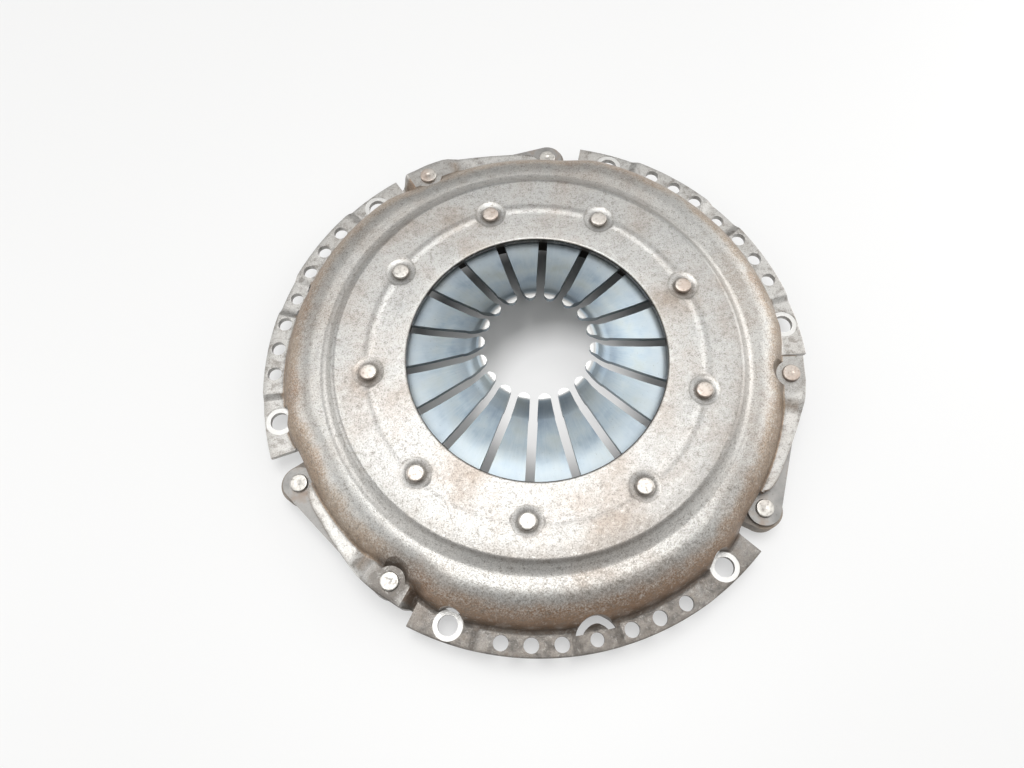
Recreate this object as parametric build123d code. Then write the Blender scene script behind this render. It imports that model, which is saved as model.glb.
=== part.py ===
"""Diaphragm-spring clutch pressure plate: pressed cover, spring, pivot rings, cast plate, leaf straps and rivets.

Millimetres, +Z towards the release side.  The origin is the centre of the flywheel face of the bolt pads,
and the first dowel hole lies on -Y.  Angles run anticlockwise seen from the release side.
"""
import os
from math import cos, hypot, radians, sin, tan

from build123d import *

os.makedirs("parts", exist_ok=True)

# Pressed cover, profile given along its upper side; every radius follows from the rim
FLANGE_R = 132.3            # rim of the flange
SKIRT_R = FLANGE_R - 11.0   # foot of the skirt at the raised strip
SHOULDER_R = SKIRT_R - 3.0  # where shoulder and steep skirt would meet without their bend
GAP_BACK = 3.4              # how far the skirt is set back in the strap gaps
TOP_R = SHOULDER_R - 23.9   # outer edge of the flat top
HOLE_R = 0.6377 * TOP_R     # opening that shows the spring fingers
SHEET = 3.0                 # cover sheet thickness
TOP_Z = 26.0                # upper side of the flat top
STEP = 4.3                  # drop and run of the step behind the flat top
COVER_BENDS = (1.5, 5.5, 13.0, 2.0)   # inner bend radii: top edge, step, shoulder, foot
GAP_FROM = TOP_R + STEP + 2.5         # from here outward the skirt of a strap gap differs
STRIP_RISE = 1.8            # how far the strip with the balance holes is raised above the bolt pads
SEGMENT_HALF = 37.5         # half angle of one flange segment

# Fasteners of the flange
DOWEL_ANGLES = (-90.0, 30.0, 150.0)
BOLT_OFFSET = 30.0          # from the dowel hole, both ways
BOLT_R, BOLT_HOLE_R = FLANGE_R - 7.3, 4.5
SPOT_FACE_R, SPOT_FACE_DEEP = 6.7, 0.25
SOCKET_R = 7.2              # room for the spanner, cut through the skirt
DOWEL_R, DOWEL_HOLE_R = FLANGE_R - 5.3, 3.1
TAB_R = 6.4                 # round tab that carries the dowel hole
TAB_HALF = 7.3              # half width of the lowered strip at the tab
WINDOW_R = 9.6              # arched window behind the tab
BALANCE_R, BALANCE_HOLE_R = DOWEL_R, 3.4
BALANCE_OFFSETS = [SEGMENT_HALF * k / 37.5 for k in (7, 13, 19)]
PAD_HALF = 11.0             # from a bolt to the foot of the slope up to the strip
SLOPE_RUN = 3.8             # plan length of that slope

# Fulcrum of the diaphragm spring
RIVETS, RIVET_CIRCLE, FIRST_RIVET = 9, 0.8231 * TOP_R, 15.0
SHANK_R, SHOULDER_PIN_R = 2.6, 3.0
DIMPLE_R, DIMPLE_DEEP = 7.0, 0.9
RIVET_HEAD_R, RIVET_PROUD = 3.75, 0.8   # closed head, and its height above the flat top
BEAD_HALF, BEAD_RISE = 2.2, 0.35        # low bead pressed along the rivet circle
WIRE_R = 2.5                # pivot ring wire
WIRE_GAP = 1.6              # degrees left open where the ends of the wire meet
SEAT_GAP = 0.02             # parts that bear on each other
PIN_GAP = 0.15              # between a rivet and the piece around it

# Diaphragm spring
FINGERS = 18
SPRING_SHEET = 2.6
CONE = 11.5                 # degrees, unloaded
SPRING_R = TOP_R + 5.6
CROWN_R, CROWN_RISE = 26.7, 5.1   # where the bearing touches, and its height over the foot of the curl
CURL_R, TIP_R = CROWN_R + 4.3, CROWN_R - 3.1
SLOT_W, SLOT_TIP_W, SLOT_STEP_R = 4.2, 3.7, CURL_R + 2.5
KEY_W, KEY_LONG = 7.4, 7.8  # hole at the root of a slot
FINGER_BEND_R, FINGER_RISE = 0.65 * HOLE_R + 0.35 * CURL_R, 17.5
FINGER_BENDS = (0.9, 9.0, 70.0)      # inner bend radii: crown, curl, finger

# Cast plate
PLATE_IN, PLATE_OUT = RIVET_CIRCLE - 2.7, SPRING_R + 13.5
FACE_Z = -11.0              # friction face, unloaded
PLATE_TOP, PLATE_RIM = 4.0, -2.0
RIDGE_R, RIDGE_W, RIDGE_CUTS = SPRING_R - 2.0, 4.2, 12

# Leaf straps
LEAVES, LEAF = 3, 0.8
STRAP_HALF = 7.7
STRAP_JOG = 17.0            # length of the bend that takes a strap down from its pad
PAD_Z = 12.5                # upper side of the strap pads
PAD_BACK, PAD_FRONT = 10.0, 11.5   # a pad's ends, from its rivet
PAD_REACH = 9.4             # a pad's widest reach beyond its rivet
POCKET_R, POCKET_HIGH = 6.6, 7.0   # flared pocket in the skirt around a pad's rivet
RISER_RUN = 4.0             # plan length of the wall between a pad and the flange
LIP_DROP, LIP_SLOPE = 2.9, 7.5    # lip that runs on from a pad over its strap, and the slope down to it
PAD_RIVET = (SKIRT_R - 1.55, -44.05)   # radius, angle from the dowel hole
LUG_RIVET = (SKIRT_R + 1.9, -74.8)
LUG_Z, LUG_THICK, LUG_ROUND = 1.3, 8.0, 9.0
STRAP_RIVET_R, STRAP_HEAD_R, STRAP_HEAD = 3.0, 4.2, 1.8
GAP_MID = -60.0             # middle of a strap gap, from the dowel hole
MOVING_GAP = 0.3            # between a piece that moves and one that does not


# Helpers
def spot(radius, angle):
    """Point in plan at a radius and angle."""
    return (radius * cos(radians(angle)), radius * sin(radians(angle)))


def drum(radius, low, high, at=(0, 0)):
    """Upright cylinder between two heights."""
    return Pos(at[0], at[1], (low + high) / 2) * Cylinder(radius, high - low)


def prism(outline, near, far, angle):
    """Outline in (sideways clockwise, height), extruded outward between two distances along a direction."""
    out = Vector(*spot(1, angle), 0)
    side = Vector(*spot(1, angle - 90), 0)
    plane = Plane(origin=out * near, x_dir=side, z_dir=out * -1)
    return extrude(plane * make_face(Polyline(*outline, close=True)), amount=near - far)


def plate_of(outline, low, high, angle):
    """Outline in plan, (sideways clockwise, outward) along a direction, extruded between two heights."""
    plane = Plane(origin=(0, 0, low), x_dir=Vector(*spot(1, angle - 90), 0), z_dir=(0, 0, 1))
    return extrude(plane * make_face(Polyline(*outline, close=True)), amount=high - low)


def turned(outline):
    """Solid of revolution about Z from a closed (radius, height) outline."""
    return revolve(Plane.XZ * make_face(Polyline(*outline, close=True)), Axis.Z)


def sheet_sides(points, bends, thick):
    """Upper and lower side of a sheet that runs outward through the points; bends are given by inner radius."""
    steps = [(b[0] - a[0], b[1] - a[1]) for a, b in zip(points, points[1:])]
    normals = [(dz / hypot(dr, dz), -dr / hypot(dr, dz)) for dr, dz in steps]
    lower, upper_bends, lower_bends = [], [], []
    for i, (r, z) in enumerate(points):
        a, b = normals[max(i - 1, 0)], normals[min(i, len(normals) - 1)]
        k = thick / (1 + a[0] * b[0] + a[1] * b[1])
        lower.append((r + k * (a[0] + b[0]), z + k * (a[1] + b[1])))
    for bend, a, b in zip(bends, steps, steps[1:]):
        rises = a[0] * b[1] - a[1] * b[0] > 0
        upper_bends.append(bend if rises else bend + thick)
        lower_bends.append(bend + thick if rises else bend)
    return FilletPolyline(*points, radius=upper_bends), FilletPolyline(*lower, radius=lower_bends)


def turned_between(upper, lower):
    """Solid of revolution about Z between two (radius, height) lines."""
    ends = [Line(upper @ 0, lower @ 0), Line(upper @ 1, lower @ 1)]
    return revolve(Plane.XZ * make_face([upper, lower] + ends), Axis.Z)


# Sizes that follow from the ones above
PAD_UNDER = PAD_Z - SHEET
TOP_UNDER = TOP_Z - SHEET
RING_R = RIVET_CIRCLE + SHOULDER_PIN_R + PIN_GAP + WIRE_R
UPPER_RING_Z = TOP_UNDER - WIRE_R
FULCRUM_Z = UPPER_RING_Z - WIRE_R / cos(radians(CONE)) - SEAT_GAP      # spring's upper side at the rings
LOWER_RING_Z = FULCRUM_Z - (SPRING_SHEET + WIRE_R) / cos(radians(CONE)) - SEAT_GAP
RIVET_HEAD_Z = LOWER_RING_Z - WIRE_R
SPRING_UNDER_Z = FULCRUM_Z - SPRING_SHEET / cos(radians(CONE))         # spring's lower side at the rings
RIDGE_Z = SPRING_UNDER_Z - (RIDGE_R - RING_R) * tan(radians(CONE)) - SEAT_GAP
STACK = LEAVES * LEAF


def spring_top(radius):
    """Height of the spring's upper side on its cone."""
    return FULCRUM_Z + (RING_R - radius) * tan(radians(CONE))


# Cover
def skirt_r(height, back=0.0):
    """Radius of the outer side of the straight part of the skirt."""
    fall = TOP_Z - STEP - SHEET - STRIP_RISE
    return SHOULDER_R - back + (TOP_Z - STEP - height) * (SKIRT_R - SHOULDER_R) / fall


def cover_sides(flange_top, back=0.0):
    """Upper and lower side of the cover with its flange at one level and its skirt set back."""
    profile = [(HOLE_R, TOP_Z), (TOP_R, TOP_Z), (TOP_R + STEP, TOP_Z - STEP), (SHOULDER_R - back, TOP_Z - STEP),
               (skirt_r(flange_top, back), flange_top), (FLANGE_R, flange_top)]
    return sheet_sides(profile, COVER_BENDS, SHEET)


def low_places(dowel):
    """Places of one flange segment at bolt-pad level: direction, and the two sideways ends of tab and pads."""
    end = BOLT_R * tan(radians(SEGMENT_HALF - BOLT_OFFSET + 6))
    return [(dowel, -TAB_HALF, TAB_HALF), (dowel - BOLT_OFFSET, -PAD_HALF, end),
            (dowel + BOLT_OFFSET, -end, PAD_HALF)]


def press_levels(blank):
    """Lowers the upper side at pads and tabs and raises the lower side at the strips, with slopes between."""
    rise = STRIP_RISE + 2
    run, shift = SLOPE_RUN / STRIP_RISE, SHEET / 3
    high = SHEET + rise
    skirt = turned([(0, 0), (skirt_r(0) + 1.2, 0), (skirt_r(SHEET) + 1.2, SHEET),
                    (skirt_r(SHEET + 1) + 0.15, SHEET + 1), (skirt_r(high + 1) + 0.15, high + 1), (0, high + 1)])
    under = drum(FLANGE_R + 5, -1, STRIP_RISE) - drum(HOLE_R, -1, STRIP_RISE)
    for dowel in DOWEL_ANGLES:
        for angle, a, b in low_places(dowel):
            slot = [(a, SHEET), (b, SHEET), (b + run * rise, high), (a - run * rise, high)]
            blank -= prism(slot, HOLE_R, FLANGE_R + 5, angle) - skirt
            a, b = a - shift, b + shift
            stay = [(a, -2), (b, -2), (b, 0), (b + run * rise, rise), (a - run * rise, rise), (a, 0)]
            under -= prism(stay, HOLE_R / 2, FLANGE_R + 9, angle)
    return blank - under


def strap_gap(dowel):
    """Clearance for one strap and lug, with the pad and lip that roof it and the riser up from the flange."""
    mid = dowel + GAP_MID
    pad_v, pad_u = spot(PAD_RIVET[0], GAP_MID - PAD_RIVET[1])
    lug_v, lug_u = spot(LUG_RIVET[0], GAP_MID - LUG_RIVET[1])
    start, pad_end, lip_end = pad_u - PAD_BACK, pad_u + PAD_FRONT, lug_u - STRAP_HEAD_R - 1
    foot, lip, stop = start - RISER_RUN, pad_end + LIP_SLOPE, lug_u + LUG_ROUND + 3
    low, lip_z = PAD_UNDER - LIP_DROP, PAD_Z - LIP_DROP
    under = [(start, PAD_UNDER), (pad_end, PAD_UNDER), (lip, low), (lip_end, low)]
    clear = [(start, FACE_Z)] + under + [(lip_end, PAD_UNDER), (stop, PAD_UNDER), (stop, FACE_Z)]
    bevel, mitre = SHEET * LIP_DROP / LIP_SLOPE / 2, SHEET * 0.64
    upper = [(lip_end, lip_z), (lip + bevel, lip_z), (pad_end + bevel, PAD_Z), (start, PAD_Z)]
    edge = [(foot - SHEET, pad_v - 4), (foot, pad_v + 1), (start, pad_v + 4.4), (pad_u - 4, pad_v + 6.4),
            (pad_u + 2, pad_v + 8), (pad_end, pad_v + PAD_REACH), (lip, pad_v + PAD_REACH),
            (lip + 10, pad_v + PAD_REACH - 0.9), (lip_end - 8, lug_v + 1.8), (lip_end - 3, lug_v + 0.4),
            (lip_end, lug_v - 3)]
    inside = [(skirt_r(z, GAP_BACK) - SHEET, z) for z in (-1, PAD_Z + 1)]
    core = turned([(0, -1)] + inside + [(0, PAD_Z + 1)])
    shelf = plate_of([(foot - SHEET, 0)] + edge + [(lip_end, 0)], -1, PAD_Z + 1, mid) - core
    rise = [(foot - SHEET, 0), (foot + mitre, 0), (start + mitre, PAD_UNDER), (start + mitre, PAD_Z), (start, PAD_Z),
            (foot, SHEET), (foot - SHEET, SHEET)]
    roof = (prism(under + upper, HOLE_R, FLANGE_R, mid) + prism(rise, HOLE_R, FLANGE_R, mid)) & shelf
    return prism(clear, TOP_R, FLANGE_R + 5, mid), roof


def sector(first, last, height):
    """Wedge about the axis between two angles, up to a height."""
    turns = (first, (first + last) / 2, last)
    return extrude(make_face(Polyline((0, 0), *[spot(2 * FLANGE_R, a) for a in turns], close=True)), amount=height)


def make_cover():
    upper, gap_lower = cover_sides(SHEET + STRIP_RISE)[0], cover_sides(SHEET, GAP_BACK)[1]
    cover = press_levels(turned_between(upper, cover_sides(SHEET)[1]))
    inset = turned_between(cover_sides(SHEET + STRIP_RISE, GAP_BACK)[0], gap_lower)
    between = turned_between(upper, gap_lower) & (drum(SKIRT_R - SHEET / 2, 0, TOP_Z) - drum(GAP_FROM, 0, TOP_Z))
    wall = SHEET / radians(SKIRT_R)           # degrees that the end walls of a strap gap take up
    for dowel in DOWEL_ANGLES:
        first, last = dowel - 120 + SEGMENT_HALF, dowel - SEGMENT_HALF
        gap = sector(first, last, TOP_Z) - drum(GAP_FROM, -1, TOP_Z + 1)
        cover = cover - gap + (inset & gap)
        cover += between & sector(first - wall, first, TOP_Z)
        cover += between & sector(last, last + wall, TOP_Z)
        clear, roof = strap_gap(dowel)
        cover -= clear + (sector(first, last, PAD_UNDER - LIP_DROP) - drum(SKIRT_R - GAP_BACK, -1, PAD_UNDER))
        cover += roof
    inner, outer = RIVET_CIRCLE - BEAD_HALF, RIVET_CIRCLE + BEAD_HALF
    crest = ThreePointArc((inner, TOP_Z), (RIVET_CIRCLE, TOP_Z + BEAD_RISE), (outer, TOP_Z))
    base = Polyline((outer, TOP_Z), (outer, TOP_Z - SHEET / 2), (inner, TOP_Z - SHEET / 2), (inner, TOP_Z))
    cover += revolve(Plane.XZ * make_face([crest, base]), Axis.Z)
    cuts, above = [], TOP_Z - STEP
    for dowel in DOWEL_ANGLES:
        centre = spot(DOWEL_R, dowel)
        tab = drum(2 * FLANGE_R, -2, TOP_Z) - drum(DOWEL_R - TAB_R / 2, -2, TOP_Z)
        tab += drum(TAB_R, -2, TOP_Z, centre)
        cuts += [drum(WINDOW_R, -1, above, centre) - tab, drum(DOWEL_HOLE_R, -1, PAD_Z, centre)]
        for way in (-1, 1):
            bolt = spot(BOLT_R, dowel + way * BOLT_OFFSET)
            cuts += [drum(SOCKET_R, SHEET, above, bolt), drum(BOLT_HOLE_R, -1, PAD_Z, bolt),
                     drum(SPOT_FACE_R, SHEET - SPOT_FACE_DEEP, above, bolt)]
            cuts += [drum(BALANCE_HOLE_R, -1, PAD_Z, spot(BALANCE_R, dowel + way * a)) for a in BALANCE_OFFSETS]
        rivet = spot(PAD_RIVET[0], dowel + PAD_RIVET[1])
        pocket = Pos(*rivet, PAD_Z + POCKET_HIGH / 2) * Cone(POCKET_R, POCKET_R + POCKET_HIGH / 2, POCKET_HIGH)
        cuts += [pocket, drum(STRAP_RIVET_R + PIN_GAP / 2, 0, PAD_Z + 1, rivet)]
    for i in range(RIVETS):
        at = spot(RIVET_CIRCLE, FIRST_RIVET + i * 360 / RIVETS)
        cone = Pos(*at, TOP_Z - DIMPLE_DEEP / 2) * Cone(DIMPLE_R - DIMPLE_DEEP, DIMPLE_R, DIMPLE_DEEP)
        cuts += [cone, drum(DIMPLE_R, TOP_Z, TOP_Z + 1, at), drum(SHANK_R + PIN_GAP / 2, PAD_Z, TOP_Z + 1, at)]
    mouth = turned([(HOLE_R - 1, TOP_Z + 1), (HOLE_R - 1, TOP_Z - 0.8 - 1), (HOLE_R + 0.8 + 1, TOP_Z + 1)])
    return cover - cuts - mouth


# Diaphragm spring
def make_spring():
    bend = (FINGER_BEND_R, spring_top(FINGER_BEND_R))
    curl = (CURL_R, bend[1] + (FINGER_BEND_R - CURL_R) * tan(radians(FINGER_RISE)))
    crown = curl[1] + CROWN_RISE
    profile = [(TIP_R, crown + 0.1), (CROWN_R, crown), curl, bend, (SPRING_R, spring_top(SPRING_R))]
    spring = turned_between(*sheet_sides(profile, FINGER_BENDS, SPRING_SHEET))
    half, tip = SLOT_W / 2, SLOT_TIP_W / 2
    edge = [(TIP_R - 3, tip + 4), (TIP_R + 0.1, tip + 1.2), (TIP_R + 0.7, tip + 0.45), (TIP_R + 1.8, tip),
            (SLOT_STEP_R - 0.6, tip), (SLOT_STEP_R + 0.6, half), (RIVET_CIRCLE, half)]
    edge += [(r, -side) for r, side in reversed(edge)]
    slot = make_face(Polyline(*edge, close=True)) + Pos(RIVET_CIRCLE, 0) * RectangleRounded(KEY_LONG, KEY_W, 3.0)
    slots = [Rot(0, 0, FIRST_RIVET + i * 360 / FINGERS) * extrude(slot, amount=60) for i in range(FINGERS)]
    return spring - slots


# Pivot rings and the rivets that hold them
def make_ring(height, start):
    section = Plane.XZ * Pos(RING_R, height) * Circle(WIRE_R)
    return Rot(0, 0, start) * revolve(section, Axis.Z, 360 - WIRE_GAP)


def make_fulcrum_rivet(angle):
    seat = TOP_Z - DIMPLE_DEEP
    head = [(0, RIVET_HEAD_Z - 2.6), (5.2, RIVET_HEAD_Z - 2.6), (6.4, RIVET_HEAD_Z - 1.4), (6.4, RIVET_HEAD_Z),
            (SHOULDER_PIN_R, RIVET_HEAD_Z), (SHOULDER_PIN_R, TOP_UNDER), (SHANK_R, TOP_UNDER), (SHANK_R, seat),
            (RIVET_HEAD_R, seat), (RIVET_HEAD_R, TOP_Z + RIVET_PROUD - 0.5),
            (RIVET_HEAD_R - 0.6, TOP_Z + RIVET_PROUD), (0, TOP_Z + RIVET_PROUD)]
    return Pos(*spot(RIVET_CIRCLE, angle), 0) * turned(head)


# Cast plate
def make_plate():
    plate = turned([(PLATE_IN, FACE_Z + 0.8), (PLATE_IN + 0.8, FACE_Z), (PLATE_OUT - 0.8, FACE_Z),
                    (PLATE_OUT, FACE_Z + 0.8), (PLATE_OUT, PLATE_RIM - 1.5), (PLATE_OUT - 1.5, PLATE_RIM),
                    (RIDGE_R + RIDGE_W, PLATE_TOP), (PLATE_IN + 2, PLATE_TOP), (PLATE_IN, PLATE_TOP - 2)])
    ridge = turned([(RIDGE_R - RIDGE_W, PLATE_TOP - 1), (RIDGE_R + RIDGE_W, PLATE_TOP - 1),
                    (RIDGE_R + 1.6, RIDGE_Z - 0.7), (RIDGE_R + 0.7, RIDGE_Z - 0.15), (RIDGE_R, RIDGE_Z),
                    (RIDGE_R - 0.7, RIDGE_Z - 0.15), (RIDGE_R - 1.6, RIDGE_Z - 0.7)])
    for i in range(RIDGE_CUTS):
        notch = [(-5, PLATE_TOP), (5, PLATE_TOP), (8, RIDGE_Z + 1), (-8, RIDGE_Z + 1)]
        ridge -= prism(notch, RIDGE_R - 10, RIDGE_R + 10, i * 360 / RIDGE_CUTS)
    plate += ridge
    for dowel in DOWEL_ANGLES:
        centre = spot(LUG_RIVET[0], dowel + LUG_RIVET[1])
        root = PLATE_OUT - 7.5
        outline = [(-LUG_ROUND - 4, root), (LUG_ROUND + 2, root), (LUG_ROUND, LUG_RIVET[0]),
                   (-LUG_ROUND, LUG_RIVET[0])]
        lug = plate_of(outline, LUG_Z - LUG_THICK, LUG_Z, dowel + LUG_RIVET[1])
        lug += drum(LUG_ROUND, LUG_Z - LUG_THICK, LUG_Z, centre)
        plate += lug
        plate -= drum(STRAP_RIVET_R + PIN_GAP / 2, -30, 30, centre)
    return plate


# Leaf straps
def make_leaf(dowel, layer):
    """One strap leaf, flat at both rivets with a smooth fall between them; layer 0 lies on top."""
    start, stop = spot(PAD_RIVET[0], dowel + PAD_RIVET[1]), spot(LUG_RIVET[0], dowel + LUG_RIVET[1])
    along = Vector(stop[0] - start[0], stop[1] - start[1], 0)
    span, reach, flat = along.length, STRAP_HALF + 2, STRAP_HALF - 1
    side = Plane(origin=(*start, 0), x_dir=along, z_dir=along.cross(Vector(0, 0, 1)))
    high, low = PAD_UNDER - layer * LEAF, LUG_Z + STACK - layer * LEAF
    curves = []
    for drop in (0, LEAF):
        bow = Spline((flat, high - drop), (flat + STRAP_JOG, low - drop), tangents=((1, 0), (1, 0)))
        curves.append([Line((-reach, high - drop), (flat, high - drop)), bow,
                       Line((flat + STRAP_JOG, low - drop), (span + reach, low - drop))])
    ends = [Line((-reach, high), (-reach, high - LEAF)), Line((span + reach, low), (span + reach, low - LEAF))]
    band = extrude(side * make_face(curves[0] + curves[1] + ends), amount=STRAP_HALF + 1, both=True)
    flat_plane = Plane(origin=(*start, -20), x_dir=along, z_dir=(0, 0, 1))
    plan = Pos(span / 2, 0) * SlotCenterToCenter(span, 2 * STRAP_HALF)
    leaf = band & extrude(flat_plane * plan, amount=60)
    leaf -= drum(STRAP_RIVET_R + PIN_GAP / 2, -20, 40, start)
    return leaf - drum(STRAP_RIVET_R + MOVING_GAP, -20, 40, stop)


def make_strap_rivet(at, seat, grip):
    """Strap rivet with its head on the seat and its closed end below the grip."""
    head, closed = seat + STRAP_HEAD, seat - grip
    outline = [(0, closed - 2), (3.8, closed - 2), (4.8, closed - 1), (4.8, closed), (STRAP_RIVET_R, closed),
               (STRAP_RIVET_R, seat), (STRAP_HEAD_R, seat), (STRAP_HEAD_R, head - 0.5), (STRAP_HEAD_R - 0.7, head),
               (0, head)]
    return Pos(*at, 0) * turned(outline)


# Assembly, one file for each piece
pieces = {
    "cover": make_cover(),
    "diaphragm_spring": make_spring(),
    "upper_pivot_ring": make_ring(UPPER_RING_Z, FIRST_RIVET + 10),
    "lower_pivot_ring": make_ring(LOWER_RING_Z, FIRST_RIVET + 190),
    "pressure_plate": make_plate(),
}
for i in range(RIVETS):
    pieces[f"fulcrum_rivet_{i + 1}"] = make_fulcrum_rivet(FIRST_RIVET + i * 360 / RIVETS)
for n, dowel in enumerate(DOWEL_ANGLES, 1):
    for layer, name in enumerate(("upper", "middle", "lower")):
        pieces[f"drive_strap_{n}_{name}"] = make_leaf(dowel, layer)
    pad, lug = spot(PAD_RIVET[0], dowel + PAD_RIVET[1]), spot(LUG_RIVET[0], dowel + LUG_RIVET[1])
    pieces[f"strap_cover_rivet_{n}"] = make_strap_rivet(pad, PAD_Z, SHEET + STACK)
    pieces[f"strap_lug_rivet_{n}"] = make_strap_rivet(lug, LUG_Z + STACK, LUG_THICK + STACK)

for name, piece in pieces.items():
    export_step(piece, f"parts/{name}.step")
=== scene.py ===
import math

import bmesh
import bpy
from mathutils import Matrix, Vector


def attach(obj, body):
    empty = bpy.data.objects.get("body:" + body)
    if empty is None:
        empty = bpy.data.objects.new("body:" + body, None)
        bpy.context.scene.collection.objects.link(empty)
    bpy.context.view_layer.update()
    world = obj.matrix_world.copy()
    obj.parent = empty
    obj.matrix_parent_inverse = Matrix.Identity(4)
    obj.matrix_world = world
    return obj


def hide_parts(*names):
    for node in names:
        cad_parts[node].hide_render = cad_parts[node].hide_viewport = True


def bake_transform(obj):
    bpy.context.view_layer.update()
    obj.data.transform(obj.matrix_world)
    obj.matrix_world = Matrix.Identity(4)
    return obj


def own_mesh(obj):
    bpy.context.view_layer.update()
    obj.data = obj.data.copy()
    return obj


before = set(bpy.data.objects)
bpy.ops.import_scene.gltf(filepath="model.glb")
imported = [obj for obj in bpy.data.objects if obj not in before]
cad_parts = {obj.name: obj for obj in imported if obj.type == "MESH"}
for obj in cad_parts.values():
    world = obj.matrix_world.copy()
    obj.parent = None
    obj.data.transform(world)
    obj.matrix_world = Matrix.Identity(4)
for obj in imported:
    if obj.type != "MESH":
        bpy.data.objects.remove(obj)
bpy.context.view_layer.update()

# Cast pressure plate.
# A grey iron ring, sand cast with a notched ridge for the spring and three lugs for the straps.
# Its flywheel side is ground flat; the straps hang it from the cover.
PER_M = 1000.0                          # millimetres in a metre
FRICTION_FACE_Z = -0.011
GROUND_SKIN = 0.0004                    # height above the friction face that still counts as ground
DARKER_TO_R, PALER_FROM_R = 0.111, 0.115   # the iron is darker up to the first radius and paler from the second
RINGS_PER_M = 900.0                     # grinding marks, drawn coarse enough to show


def linear(hex_colour):
    """sRGB hex to the linear colour that shaders take."""
    parts = [int(hex_colour[i:i + 2], 16) / 255 for i in (1, 3, 5)]
    return tuple(c / 12.92 if c <= 0.04045 else ((c + 0.055) / 1.055) ** 2.4 for c in parts) + (1.0,)


def add(tree, kind, *values, named=None, stops=(), give=None, **settings):
    """Adds a node with its settings, fills its sockets in order or by name, and returns one output."""
    node = tree.nodes.new(kind if "Node" in kind else f"ShaderNode{kind}")
    for key, value in settings.items():
        setattr(node, key, value)
    while stops and len(node.color_ramp.elements) < len(stops):
        node.color_ramp.elements.new(0.5)
    for at, (place, colour) in enumerate(stops):
        point = node.color_ramp.elements[at]
        point.position = place
        point.color = linear(colour) if isinstance(colour, str) else (colour, colour, colour, 1)
    filled = list(zip([s for s in node.inputs if s.enabled], values))
    filled += [(node.inputs[name], value) for name, value in (named or {}).items()]
    for socket, value in filled:
        if isinstance(value, bpy.types.NodeSocket):
            tree.links.new(value, socket)
        else:
            socket.default_value = linear(value) if isinstance(value, str) else value
    return node.outputs[give] if give else next((s for s in node.outputs if s.enabled), None)


def new_material(name):
    """Empty material, with the object coordinates that its patterns lie on."""
    material = bpy.data.materials.new(name)
    material.use_nodes = True
    tree = material.node_tree
    tree.nodes.clear()
    return material, tree, add(tree, "TexCoord", give="Object")


def finish_surface(tree, colour, metallic, roughness, height, strength, depth_mm):
    """Ends a material in one shader with its colour, metal share, roughness and a fine relief."""
    relief = add(tree, "Bump", named={"Height": height, "Strength": strength, "Distance": depth_mm / PER_M})
    shader = add(tree, "BsdfPrincipled", named={
        "Base Color": colour, "Metallic": metallic, "Roughness": roughness, "Normal": relief})
    add(tree, "OutputMaterial", shader)


def shaded(name, made, sharp=24):
    """New object from a bmesh, shaded smooth up to its real edges."""
    for face in made.faces:
        face.smooth = True
    for edge in made.edges:
        edge.smooth = len(edge.link_faces) == 2 and edge.calc_face_angle(0) < math.radians(sharp)
    mesh = bpy.data.meshes.new(name)
    made.to_mesh(mesh)
    made.free()
    piece = bpy.data.objects.new(name, mesh)
    bpy.context.scene.collection.objects.link(piece)
    weigh = piece.modifiers.new("even_faces", "WEIGHTED_NORMAL")
    weigh.keep_sharp = True
    return piece


def smooth_copy(name, node):
    """Copy of a CAD node with merged vertices."""
    made = bmesh.new()
    made.from_mesh(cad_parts[node].data)
    bmesh.ops.remove_doubles(made, verts=made.verts, dist=2e-6)
    return shaded(name, made)


def grey_iron():
    """Sand-cast grey iron: matt, grainy and dark, darkest under the cover and paler outside it, with fine rings
    on the ground face.
    """
    material, tree, coords = new_material("grey_cast_iron")
    x, y, z = add(tree, "SeparateXYZ", coords).node.outputs
    radius = add(tree, "VectorMath", add(tree, "CombineXYZ", x, y), operation="LENGTH")
    sand = add(tree, "TexNoise", coords, PER_M / 0.9, 4, 0.55)
    blotch = add(tree, "TexNoise", coords, PER_M / 14, 3, 0.55)
    rings = add(tree, "TexNoise", radius, RINGS_PER_M, 3, 0.5, noise_dimensions="1D")
    ground = add(tree, "Math", z, FRICTION_FACE_Z + GROUND_SKIN, operation="LESS_THAN")
    dark = add(tree, "ValToRGB", blotch, stops=((0.3, "#2f2d2b"), (0.55, "#403d39"), (0.75, "#41372f")))
    paler_iron = add(tree, "ValToRGB", blotch, stops=((0.3, "#77716b"), (0.55, "#8a837b"), (0.75, "#80705f")))
    outside = add(tree, "MapRange", radius, DARKER_TO_R, PALER_FROM_R)
    cast = add(tree, "Mix", outside, dark, paler_iron, data_type="RGBA")
    face = add(tree, "ValToRGB", rings, stops=((0.35, "#7f7d7a"), (0.65, "#a8a6a2")))
    rough = add(tree, "Math", ground, -0.25, add(tree, "MapRange", sand, 0.3, 0.7, 0.5, 0.68),
                operation="MULTIPLY_ADD")
    finish_surface(tree, add(tree, "Mix", ground, cast, face, data_type="RGBA"), 0.9, rough,
                   add(tree, "Mix", ground, sand, rings), 0.5, 0.25)
    return material


plate = smooth_copy("cast_plate", "pressure_plate")
plate.data.materials.append(grey_iron())
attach(plate, "pressure_plate")
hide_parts("pressure_plate")

# Diaphragm spring.
# One dished disc of tempered spring steel, slotted into fingers that curl up to the release bearing.
# It tilts between the two pivot rings, and the bearing has worn the finger tips bright.
DRAW_R, DRAW_STRETCH = 0.045, 0.08      # streaks are true to width at this radius, and drawn out along it
CURL_SHADE_START_R, CURL_SHADE_END_R = 0.042, 0.0335   # painted shade: the curl towards the tips is darker
FINGER_LIGHT_START_R, FINGER_LIGHT_END_R = 0.045, 0.056 # painted light: the fingers turn paler outwards
TIP_START_Z, TIP_Z = 0.0354, 0.0358     # where the bearing has worn them


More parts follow.
